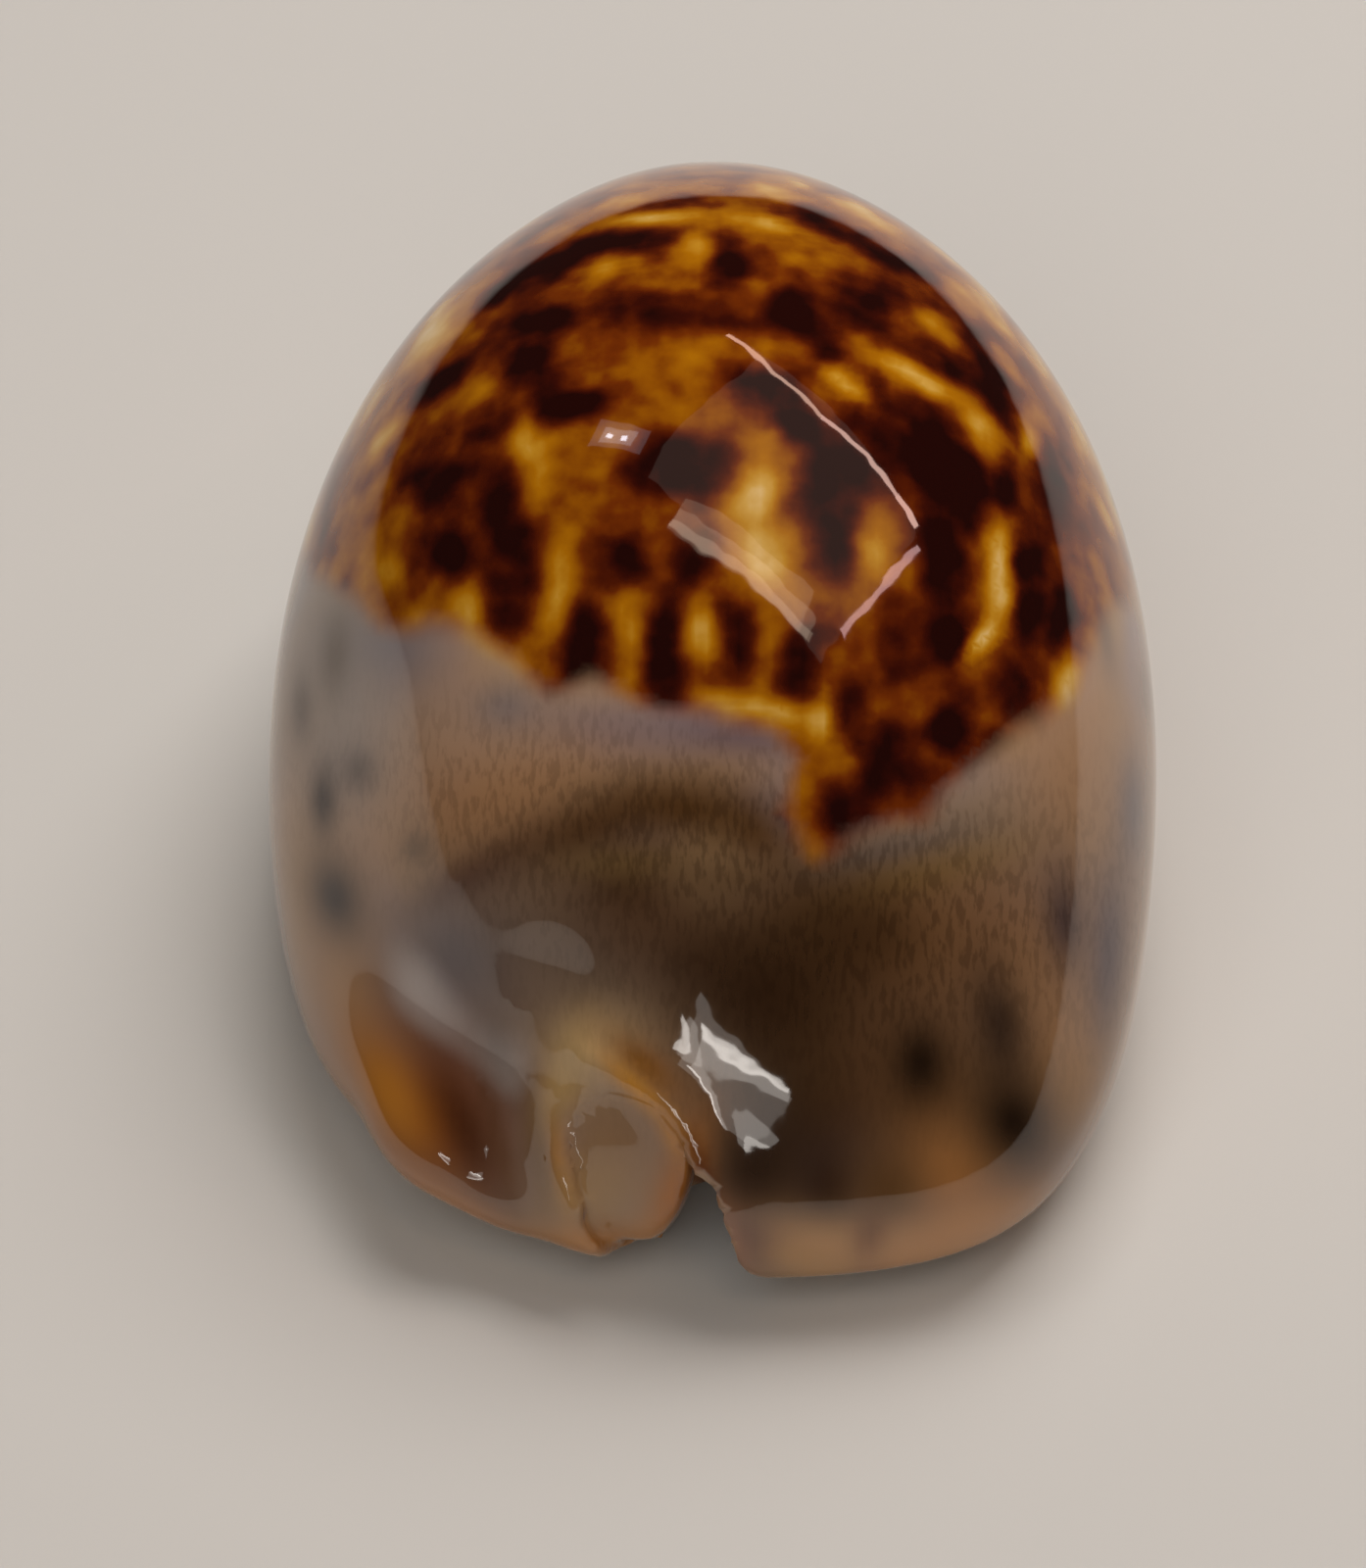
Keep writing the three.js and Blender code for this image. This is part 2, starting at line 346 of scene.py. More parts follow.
@dataclass(frozen=True)
class ShellForm:
    """The whole shell as one field: skin, end lobes, folds, canal, knob, slit and hollow."""

    lobes: tuple[Ball, ...] = (
        Ball((-3.8, 30.3, 7.0), (4.4, 5.4, 5.0)),
        Ball((5.2, 30.2, 7.0), (4.2, 5.6, 5.0)),
    )
    pockets: tuple[Ball, ...] = (
        Ball((-4.05, -30.5, 7.65), (4.15, 5.0, 5.85)),
        Ball((-2.5, -35.8, 1.8), (3.6, 4.5, 5.0)),
        Ball((-0.5, -31.5, 3.2), (1.8, 5.2, 6.7)),
    )
    knob: Ball = Ball((-4.2, -30.0, 9.2), (3.7, 5.0, 7.0))
    swellings: tuple[Swelling, ...] = (
        Swelling(((-15.2, -29.4, 8.2),), 1.7, 3.0),
        Swelling(((14.5, -31.5, 7.5),), 0.6, 4.0),
        Swelling(((-11.0, -29.2, 14.1),), 0.2, 0.8),
        Swelling(
            ((-8.4, -27.4, 18.0), (-8.8, -28.7, 16.2), (-10.5, -30.1, 13.0), (-11.3, -31.7, 8.8)), -1.2, 1.6
        ),
        Swelling(((-4.5, -34.5, 3.2), (-8.5, -33.4, 2.8)), -0.5, 2.0),
        Swelling(((-14.5, -30.0, 2.0), (-18.5, -26.5, 2.5)), -0.8, 2.6),
        Swelling(
            ((-20.6, -14.0, 20.8), (-19.3, -18.5, 18.5), (-17.8, -22.8, 16.0), (-13.6, -27.0, 14.6)),
            -2.0,
            5.0,
        ),
        Swelling(((-17.3, -25.8, 13.5), (-14.6, -28.4, 12.1), (-11.8, -30.0, 11.6)), -1.5, 2.3),
        Swelling(
            (
                (-6.6, -29.8, 15.1),
                (-4.8, -30.3, 14.8),
                (-3.6, -30.8, 14.2),
                (-2.6, -31.4, 13.5),
                (-1.7, -32.1, 12.5),
                (-1.0, -32.8, 11.5),
                (-0.5, -33.6, 10.1),
                (0.2, -34.5, 8.2),
            ),
            0.45,
            0.9,
        ),
    )
    left_ridge: Swelling = Swelling(
        ((-7.7, -29.9, 14.7), (-8.3, -31.1, 12.6), (-8.3, -32.4, 10.2), (-7.3, -33.7, 7.6)), 0.35, 0.6
    )
    aperture: Aperture = Aperture()
    least_wall: float = 1.5

    def distance(self, points: Array) -> Array:
        """Signed distance to the shell's material.

        Args:
            points: Points in mm.

        Returns:
            Distance, negative in the material.
        """
        x, y, z = points[..., 0], points[..., 1], points[..., 2]
        field = OUTSIDE.distance(points)
        for lobe in self.lobes:
            field = smooth_min(field, lobe.distance(points), 3.0)
        for swelling in self.swellings:
            field = field - swelling.lift(points)
        skin = field
        field = smooth_max(field, -z, 0.6)
        for pocket in self.pockets:
            field = smooth_max(field, -pocket.distance(points), 0.7)
        lip_rounding = 1.4 + 1.6 * step((y + 27) / 3)
        field = smooth_max(field, -self.aperture.distance(points), lip_rounding)
        root = 0.35 + 2.2 * step((-(x + 6.3) - 0.5 * (z - 7.5)) / 1.4)
        knob = smooth_max(self.knob.distance(points), skin + 0.3 + 0.1 * np.clip(14 - z, 0, 9), 0.6)
        field = smooth_min(field, knob, root)
        field = field - self.left_ridge.lift(points)
        hollow = smooth_max(HOLLOW.distance(points), skin + self.least_wall, 1.0)
        return smooth_max(field, -hollow, 1.0)

    def gradient(self, points: Array, reach: float = 0.04) -> Array:
        """Gradient of the field.

        Args:
            points: Points in mm.
            reach: Half the distance between the samples.

        Returns:
            One vector a point.
        """
        result = np.empty_like(points)
        for axis in range(3):
            shift = np.zeros(3)
            shift[axis] = reach
            rise = self.distance(points + shift) - self.distance(points - shift)
            result[:, axis] = rise / (2 * reach)
        return result


@dataclass
class SurfaceNets:
    """Quad mesh of a field's zero surface: one vertex in each grid cell that the surface crosses."""

    form: ShellForm
    cell: float
    low: Point
    high: Point

    def axes(self) -> list[Array]:
        """Grid coordinates.

        Returns:
            Values along x, y and z.
        """
        return [np.arange(self.low[i], self.high[i] + self.cell, self.cell) for i in range(3)]

    def sample(self, axes: list[Array]) -> Array:
        """Field on the grid, in slabs to save memory.

        Args:
            axes: Grid coordinates.

        Returns:
            The field's values.
        """
        x, y, z = axes
        values = np.empty((len(x), len(y), len(z)), np.float32)
        slab = 10
        for start in range(0, len(x), slab):
            grid = np.stack(np.meshgrid(x[start : start + slab], y, z, indexing="ij"), -1)
            values[start : start + slab] = self.form.distance(grid)
        return values

    def build(self) -> tuple[Array, Array]:
        """Makes the mesh.

        Returns:
            Vertices in mm, and quads as vertex numbers with outward winding.
        """
        axes = self.axes()
        values = self.sample(axes)
        inside = values < 0
        shape = tuple(n - 1 for n in values.shape)
        count = np.zeros(shape, np.uint8)
        corners = [(a, b, c) for a in (0, 1) for b in (0, 1) for c in (0, 1)]
        for a, b, c in corners:
            count += inside[a : a + shape[0], b : b + shape[1], c : c + shape[2]]
        active = (count > 0) & (count < 8)
        number = np.full(shape, -1, np.int64)
        cells = np.argwhere(active)
        number[active] = np.arange(len(cells))
        vertices = self.cell_points(values, cells, corners)
        vertices = cells * self.cell + vertices * self.cell + np.array([axis[0] for axis in axes])
        vertices, quads = self.largest_part(vertices, self.quads(inside, number))
        return self.settle(vertices), quads

    @staticmethod
    def largest_part(vertices: Array, quads: Array) -> tuple[Array, Array]:
        """Keeps the largest connected part.

        Args:
            vertices: All points.
            quads: All quads.

        Returns:
            The points and quads of that part.
        """
        label = np.arange(len(vertices))
        while True:
            lower = label.copy()
            np.minimum.at(lower, quads.ravel(), np.repeat(label[quads].min(1), 4))
            lower = lower[lower]
            if (lower == label).all():
                break
            label = lower
        kept = label == np.bincount(label).argmax()
        number = np.cumsum(kept) - 1
        return vertices[kept], number[quads[kept[quads[:, 0]]]]

    @staticmethod
    def cell_points(values: Array, cells: Array, corners: list[tuple[int, int, int]]) -> Array:
        """Mean of the points where the surface crosses each cell's edges.

        Args:
            values: The field on the grid.
            cells: Cells that the surface crosses.
            corners: The eight corners of a cell.

        Returns:
            One point a cell, in cell units.
        """
        total = np.zeros((len(cells), 3))
        hits = np.zeros(len(cells))
        for a in corners:
            for b in corners:
                edge = np.subtract(b, a)
                if (edge < 0).any() or edge.sum() != 1:
                    continue
                start = values[cells[:, 0] + a[0], cells[:, 1] + a[1], cells[:, 2] + a[2]].astype(float)
                end = values[cells[:, 0] + b[0], cells[:, 1] + b[1], cells[:, 2] + b[2]].astype(float)
                crosses = (start < 0) != (end < 0)
                share = np.where(crosses, start / np.where(crosses, start - end, 1), 0)
                total += np.where(crosses[:, None], np.array(a) + share[:, None] * edge, 0)
                hits += crosses
        return total / hits[:, None]

    @staticmethod
    def quads(inside: Array, number: Array) -> Array:
        """One quad for each grid edge that the surface crosses.

        Args:
            inside: Which grid points are in the material.
            number: Vertex number of each cell.

        Returns:
            Quads as vertex numbers.
        """
        result = []
        for axis in range(3):
            first = [slice(None)] * 3
            second = [slice(None)] * 3
            first[axis] = slice(0, -1)
            second[axis] = slice(1, None)
            before, after = inside[tuple(first)], inside[tuple(second)]
            edges = np.argwhere(before != after)
            u, w = (axis + 1) % 3, (axis + 2) % 3
            leaving = before[tuple(edges.T)]

            def cell(du: int, dw: int) -> Array:
                at = edges.copy()
                at[:, u] += du
                at[:, w] += dw
                return number[tuple(at.T)]

            ring = np.stack([cell(-1, -1), cell(0, -1), cell(0, 0), cell(-1, 0)], 1)
            result.append(np.where(leaving[:, None], ring, ring[:, ::-1]))
        return np.concatenate(result)

    def settle(self, vertices: Array, rounds: int = 3) -> Array:
        """Moves vertices onto the surface.

        Args:
            vertices: Points near it, in mm.
            rounds: How many times.

        Returns:
            The moved points.
        """
        for _ in range(rounds):
            gradient = self.form.gradient(vertices)
            square = np.maximum((gradient**2).sum(1), 0.05)
            move = -gradient * (self.form.distance(vertices) / square)[:, None]
            length = np.maximum(np.linalg.norm(move, axis=1), 1e-9)
            vertices = vertices + move * np.minimum(1, 0.5 * self.cell / length)[:, None]
        return vertices


@dataclass(frozen=True)
class PhotoView:
    """Where the photograph was taken from, in mm, and its picture size in pixels."""

    place: Point = (0.0, -210.7, 227.6)
    aim: Point = (-1.67, -4.81, 9.26)
    width: int = 1394
    height: int = 1600
    focal_px: float = 5494.0
    film_mm: float = 36.0

    def directions(self) -> tuple[Array, Array, Array]:
        """The camera's own directions.

        Returns:
            Right, up and back as unit vectors.
        """
        back = np.array(self.place) - np.array(self.aim)
        back /= np.linalg.norm(back)
        right = np.cross([0.0, 0.0, 1.0], back)
        right /= np.linalg.norm(right)
        return right, np.cross(back, right), back

    def pixels(self, points: Array) -> tuple[Array, Array]:
        """Where points fall in the picture.

        Args:
            points: Points in mm.

        Returns:
            Pixel columns and rows.
        """
        right, up, back = self.directions()
        offset = points - np.array(self.place)
        depth = -(offset @ back)
        column = self.width / 2 + self.focal_px * (offset @ right) / depth
        row = self.height / 2 - self.focal_px * (offset @ up) / depth
        return column, row

    def facing(self, points: Array, normals: Array) -> Array:
        """How squarely the surface faces the camera.

        Args:
            points: Points in mm.
            normals: Unit normals.

        Returns:
            Cosine of the angle to the line of sight.
        """
        sight = np.array(self.place) - points
        sight /= np.linalg.norm(sight, axis=1, keepdims=True)
        return (sight * normals).sum(1)


def linear(code: str) -> tuple[float, float, float]:
    """Turns a colour as seen on screen into scene-linear light.

    Args:
        code: Six hex digits, sRGB.

    Returns:
        Linear red, green and blue.
    """
    parts = [int(code[i : i + 2], 16) / 255 for i in (0, 2, 4)]
    return tuple(c / 12.92 if c <= 0.04045 else ((c + 0.055) / 1.055) ** 2.4 for c in parts)


def ramp(low: float, high: float, value: Array) -> Array:
    """Smooth ramp from 0 at low to 1 at high.

    Args:
        low: Start.
        high: End.
        value: Where to take it.

    Returns:
        The ramp's value.
    """
    t = np.clip((value - low) / (high - low), 0, 1)
    return t * t * (3 - 2 * t)


@dataclass(frozen=True)
class Mark:
    """One soft oval mark, as it is seen in the picture: middle, half sizes, turn and strength."""

    column: float
    row: float
    half_width: float
    half_height: float
    turn_deg: float = 0.0
    strength: float = 1.0

    def cover(self, column: Array, row: Array) -> Array:
        """How much the mark covers.

        Args:
            column: Pixel columns.
            row: Pixel rows.

        Returns:
            Cover, from 0 to the mark's strength.
        """
        angle = math.radians(self.turn_deg)
        dx, dy = column - self.column, row - self.row
        along = dx * math.cos(angle) + dy * math.sin(angle)
        across = dy * math.cos(angle) - dx * math.sin(angle)
        square = (along / self.half_width) ** 2 + (across / self.half_height) ** 2
        return self.strength * np.exp(-MARK_FALLOFF * square)


@dataclass(frozen=True)
class Wash:
    """One soft patch of colour laid over the callus."""

    mark: Mark
    colour: str


def together(marks: Sequence[Mark], column: Array, row: Array) -> Array:
    """Cover of several marks laid over each other.

    Args:
        marks: The marks.
        column: Pixel columns.
        row: Pixel rows.

    Returns:
        Joint cover, from 0 to 1.
    """
    clear = np.ones_like(column)
    for mark in marks:
        clear *= 1 - mark.cover(column, row)
    return 1 - clear


# Dark blotches of the back.
DARK_MARKS = (
    Mark(700, 475, 48, 34),
    Mark(630, 565, 26, 28),
    Mark(718, 572, 26, 34, 25),
    Mark(748, 606, 20, 26, 45),
    Mark(510, 510, 20, 34),
    Mark(528, 568, 20, 42, -8),
    Mark(445, 494, 28, 30, 15),
    Mark(460, 566, 17, 24),
    Mark(582, 414, 40, 13, -16),
    Mark(542, 375, 26, 30, 20),
    Mark(550, 328, 38, 12, -14),
    Mark(455, 386, 42, 11, -38),
    Mark(505, 302, 46, 9, -40),
    Mark(568, 270, 44, 12, -26),
    Mark(640, 248, 48, 11, -8),
    Mark(655, 316, 66, 24, 4, 0.72),
    Mark(742, 268, 24, 24),
    Mark(778, 392, 30, 13, 22),
    Mark(812, 424, 30, 16, 40),
    Mark(735, 208, 110, 8, 2, 0.9),
    Mark(815, 320, 30, 24),
    Mark(884, 316, 34, 22),
    Mark(845, 360, 20, 12, 0, 0.8),
    Mark(852, 488, 28, 40, -10),
    Mark(846, 548, 32, 40),
    Mark(806, 522, 14, 18, 0, 0.8),
    Mark(905, 430, 42, 60, -35, 0.6),
    Mark(952, 450, 28, 36, 20),
    Mark(984, 497, 30, 44),
    Mark(965, 552, 20, 44),
    Mark(972, 366, 26, 34, -30),
    Mark(1012, 400, 13, 46, -22),
    Mark(905, 264, 62, 9, 26),
    Mark(845, 232, 50, 8, 14),
    Mark(1026, 486, 11, 22),
    Mark(1046, 571, 15, 18),
    Mark(1072, 500, 26, 50, -12, 0.6),
    Mark(1052, 625, 18, 30),
    Mark(1082, 630, 13, 30),
    Mark(595, 650, 22, 44, 12),
    Mark(678, 668, 19, 46),
    Mark(752, 652, 17, 36),
    Mark(815, 675, 18, 32),
    Mark(866, 724, 16, 26),
    Mark(970, 648, 19, 40),
    Mark(1040, 695, 28, 42, 10, 0.85),
    Mark(967, 741, 18, 18),
    Mark(897, 780, 17, 44, 24),
    Mark(862, 834, 26, 24, -20),
    Mark(930, 800, 26, 30, 0, 0.55),
    Mark(1015, 780, 32, 13, -30, 0.9),
    Mark(796, 850, 7, 14),
    Mark(512, 622, 18, 24),
    Mark(420, 600, 30, 20, 0, 0.55),
    Mark(915, 650, 26, 44, 0, 0.5),
    Mark(480, 440, 34, 14, -30, 0.5),
)
# Pale flecks of the back.
CREAM_MARKS = (
    Mark(775, 502, 18, 26),
    Mark(772, 566, 38, 40, 35, 0.9),
    Mark(890, 562, 16, 24, 0, 0.7),
    Mark(1000, 436, 26, 13, 45),
    Mark(940, 386, 44, 9, 28),
    Mark(1020, 576, 9, 36),
    Mark(785, 224, 46, 8, 18, 0.8),
    Mark(965, 342, 24, 10, 40, 0.7),
    Mark(866, 396, 34, 8, 40, 0.6),
    Mark(1050, 452, 8, 16, 0, 0.7),
    Mark(775, 722, 44, 9, 8, 0.75),
    Mark(837, 735, 8, 14, 0, 0.8),
    Mark(1002, 652, 20, 8, -50),
    Mark(1090, 700, 14, 26, 0, 0.8),
    Mark(1022, 610, 10, 16, 0, 0.8),
    Mark(712, 245, 14, 24, 0, 0.6),
    Mark(672, 222, 44, 6, -6, 0.8),
    Mark(618, 272, 22, 10, -20, 0.6),
    Mark(570, 600, 12, 40, 10, 0.6),
    Mark(540, 450, 12, 36, -10, 0.5),
    Mark(640, 640, 14, 34, -10, 0.6),
    Mark(716, 640, 12, 26, 0, 0.7),
    Mark(480, 620, 26, 16, 30, 0.5),
    Mark(500, 678, 22, 20, 0, 0.8),
    Mark(442, 708, 12, 16, 0, 0.6),
    Mark(400, 590, 30, 12, 50, 0.5),
    Mark(470, 330, 26, 6, -42, 0.7),
    Mark(440, 345, 26, 6, -42, 0.6),
    Mark(395, 440, 26, 7, -50, 0.6),
)
# Outline of the patterned back, where the callus begins; the last two corners are above the shell.
PATTERN_EDGE = (
    (290, 560),
    (350, 606),
    (385, 642),
    (440, 640),
    (485, 652),
    (525, 668),
    (562, 706),
    (605, 690),
    (655, 715),
    (700, 726),
    (790, 742),
    (815, 775),
    (796, 830),
    (830, 868),
    (880, 852),
    (940, 838),
    (960, 800),
    (1000, 772),
    (1060, 742),
    (1098, 700),
    (1122, 640),
    (1160, 590),
    (1200, 560),
    (1300, 0),
    (200, 0),
)
# Colours of the callus, laid over each other in this order: callus next to the pattern, brown
# arch, brown field above the notch, right lobe, rim, left side and left lobe, then knob and canal.
# Some are painted light: a painted sheen on the left callus, a painted dark reflection left of
# the knob and painted highlight lines on the crests of the ridges round the knob.
WASHES_AND_PAINTED_LIGHT = (
    Wash(Mark(420, 760, 160, 110, 0, 0.75), "aa8466"),
    # Painted sheen: grey-blue reflection laid over the callus along the left side.
    Wash(Mark(330, 680, 60, 150, 0, 0.7), "989088"),
    Wash(Mark(400, 660, 50, 40, 10, 0.8), "7c7478"),
    Wash(Mark(560, 760, 110, 50, 10, 0.7), "a68a74"),
    Wash(Mark(517, 722, 26, 20, 0, 0.6), "66666c"),
    Wash(Mark(640, 745, 80, 26, 8, 0.8), "7d7176"),
    Wash(Mark(765, 757, 62, 22, 8, 0.95), "5f5260"),
    Wash(Mark(520, 820, 120, 50, -18, 0.7), "9c6c42"),
    Wash(Mark(1000, 860, 120, 60, -20, 0.75), "96805c"),
    Wash(Mark(900, 872, 84, 15, -14, 0.95), "6e7070"),
    Wash(Mark(925, 900, 80, 16, -18, 0.8), "84784a"),
    Wash(Mark(1110, 800, 60, 60, 0, 0.7), "a87c58"),
    Wash(Mark(1140, 900, 60, 200, 0, 0.6), "9c7c62"),
    Wash(Mark(700, 800, 90, 24, -8, 0.8), "b48c64"),
    Wash(Mark(480, 895, 60, 16, -30, 0.85), "5c300e"),
    Wash(Mark(590, 850, 90, 26, -24, 0.9), "50300e"),
    Wash(Mark(700, 826, 80, 30, 4, 0.95), "4c2e0e"),
    Wash(Mark(770, 850, 44, 26, 40, 0.9), "523412"),
    Wash(Mark(560, 930, 70, 60, 20, 0.6), "5a4030"),
    Wash(Mark(640, 900, 50, 40, 0, 0.9), "2f1c0a"),
    Wash(Mark(640, 882, 50, 14, 0, 0.75), "7c6038"),
    Wash(Mark(740, 895, 50, 16, 0, 0.8), "84684a"),
    Wash(Mark(900, 960, 160, 90, -10, 0.9), "62401e"),
    Wash(Mark(1000, 960, 80, 90, -20, 0.6), "7c5430"),
    Wash(Mark(840, 930, 60, 50, 0, 0.7), "4a3016"),
    Wash(Mark(890, 955, 40, 30, 0, 0.6), "3a2410"),
    Wash(Mark(700, 985, 110, 70, 20, 0.9), "3a210a"),
    Wash(Mark(790, 1020, 80, 70, 20, 0.85), "281406"),
    Wash(Mark(620, 1000, 30, 60, 10, 0.7), "4a2a0c"),
    Wash(Mark(840, 1130, 120, 110, 0, 0.9), "2a1608"),
    Wash(Mark(960, 1120, 90, 90, 0, 0.8), "5a3a1c"),
    Wash(Mark(760, 1190, 60, 60, 30, 0.95), "1c0c05"),
    Wash(Mark(846, 1215, 26, 34, 0, 0.8), "241007"),
    Wash(Mark(975, 1200, 40, 44, 0, 0.9), "a8703c"),
    Wash(Mark(905, 1215, 34, 36, 0, 0.8), "5a3c1c"),
    Wash(Mark(1100, 1060, 60, 90, 15, 0.7), "9c7248"),
    Wash(Mark(1110, 1120, 46, 50, 30, 0.8), "9c7040"),
    Wash(Mark(870, 1275, 150, 22, 3, 0.9), "b88858"),
    Wash(Mark(1010, 1245, 90, 20, -22, 0.9), "bc8450"),
    Wash(Mark(760, 1268, 34, 22, 30, 0.85), "3c2430"),
    Wash(Mark(745, 1265, 12, 34, -20, 0.7), "94664c"),
    Wash(Mark(887, 1262, 14, 22, 20, 0.6), "5a3020"),
    Wash(Mark(820, 1285, 30, 12, 10, 0.7), "b0824e"),
    Wash(Mark(440, 1020, 110, 80, 10, 0.75), "7c6658"),
    Wash(Mark(350, 1010, 50, 110, -8, 0.7), "b48858"),
    Wash(Mark(465, 990, 55, 62, 0, 0.85), "454048"),
    Wash(Mark(515, 1160, 40, 130, 0, 0.8), "62564e"),
    Wash(Mark(590, 1020, 60, 50, 20, 0.7), "6c5a4c"),
    Wash(Mark(440, 1140, 64, 84, -28, 0.95), "74380a"),
    Wash(Mark(395, 1115, 26, 54, -28, 0.9), "a86a20"),
    Wash(Mark(475, 1150, 22, 62, -24, 0.9), "3e1c08"),
    Wash(Mark(505, 1150, 8, 66, -14, 0.7), "54321c"),
    Wash(Mark(450, 1235, 90, 16, 24, 0.9), "bc8454"),
    Wash(Mark(350, 1150, 16, 60, -28, 0.8), "a07448"),
    Wash(Mark(512, 1082, 13, 30, -20, 0.85), "3a2414"),
    # Painted dark reflection: dark brown crescent in the hollow between the left lobe and the ridge.
    Wash(Mark(553, 1175, 13, 54, -6, 0.95), "4a2406"),
    # Painted highlight: amber line along the crest of the left ridge.
    Wash(Mark(570, 1185, 7, 48, -8, 0.95), "b0701c"),
    Wash(Mark(630, 1180, 62, 70, 0, 0.95), "8a6a50"),
    Wash(Mark(600, 1225, 40, 40, 20, 0.7), "a8824c"),
    Wash(Mark(690, 1215, 16, 50, 20, 0.9), "a8641c"),
    Wash(Mark(620, 1268, 70, 14, 0, 0.9), "b87c3c"),
    Wash(Mark(606, 1068, 34, 30, 0, 0.95), "c0a074"),
    Wash(Mark(575, 1100, 16, 40, 20, 0.8), "b8945c"),
    Wash(Mark(655, 1085, 40, 16, 40, 0.9), "7a4a10"),
    # Painted highlight: amber light along the crest of the canal's rim round the knob.
    Wash(Mark(650, 1112, 34, 8, 44, 0.95), "c88a34"),
    Wash(Mark(690, 1165, 30, 8, 62, 0.95), "b87a30"),
    Wash(Mark(715, 1190, 8, 30, -20, 0.9), "5a2c10"),
    Wash(Mark(726, 1245, 8, 34, -20, 0.9), "9c7058"),
)
# Dim spots of the margins and the dark spots right of the notch.
DIM_SPOTS = (
    Wash(Mark(307, 722, 9, 28, 0, 0.75), "5a4a40"),
    Wash(Mark(342, 668, 12, 34, 5, 0.7), "5e4c3a"),
    Wash(Mark(330, 816, 12, 30, 0, 0.95), "33241e"),
    Wash(Mark(366, 786, 16, 20, 0, 0.75), "4a3a32"),
    Wash(Mark(342, 915, 24, 38, -15, 0.95), "38302e"),
    Wash(Mark(426, 865, 14, 15, 0, 0.65), "54402e"),
    Wash(Mark(1087, 940, 18, 42, -5, 0.85), "3e3234"),
    Wash(Mark(1132, 975, 16, 72, 3, 0.8), "48404a"),
    Wash(Mark(1157, 825, 12, 46, 0, 0.7), "54505a"),
    Wash(Mark(1020, 1045, 24, 52, -10, 0.9), "2e2018"),
    Wash(Mark(940, 1085, 24, 34, 0, 0.95), "180c05"),
    Wash(Mark(1035, 1145, 40, 52, -18, 0.98), "1a0d05"),
    Wash(Mark(1125, 635, 8, 40, -10, 0.6), "5c5456"),
    Wash(Mark(1172, 700, 7, 26, 0, 0.6), "5c5456"),
)


# Parts of the callus with fine lines.
GRAINED = (
    Mark(900, 960, 190, 110, -10),
    Mark(700, 860, 160, 70, 0, 0.9),
    Mark(520, 800, 150, 70, 0, 0.5),
)
PALE_CALLUS = "b48c6a"
LILAC_CALLUS = "968688"
SAND_CALLUS = "b49068"
PEACH_MARGIN = "a97c54"
BASE_ENAMEL = "c4a684"
MARGIN_SPOT = "42352f"
HOLLOW_WALL = "c9bcb4"
# Cosines towards the photo's camera at which marks begin and are whole.
FACING_CLEAR = (0.22, 0.42)
FACING_SEEN = (0.04, 0.2)
# Height in mm from which a part counts as back.
UPPER_FROM_Z = 11.0


def lattice_noise(points: Array, size: float, seed: int) -> Array:
    """Smooth random field, from 0 to 1.

    Args:
        points: Points in mm.
        size: Size of its lumps, in mm.
        seed: Which field.

    Returns:
        The field at each point.
    """
    table = np.random.default_rng(seed).random((32, 32, 32))
    scaled = points / size
    cell = np.floor(scaled).astype(int)
    t = scaled - cell
    t = t * t * (3 - 2 * t)
    total = np.zeros(len(points))
    for corner in np.ndindex(2, 2, 2):
        at = (cell + corner) % 32
        share = np.prod(np.where(corner, t, 1 - t), axis=1)
        total += share * table[at[:, 0], at[:, 1], at[:, 2]]
    return total


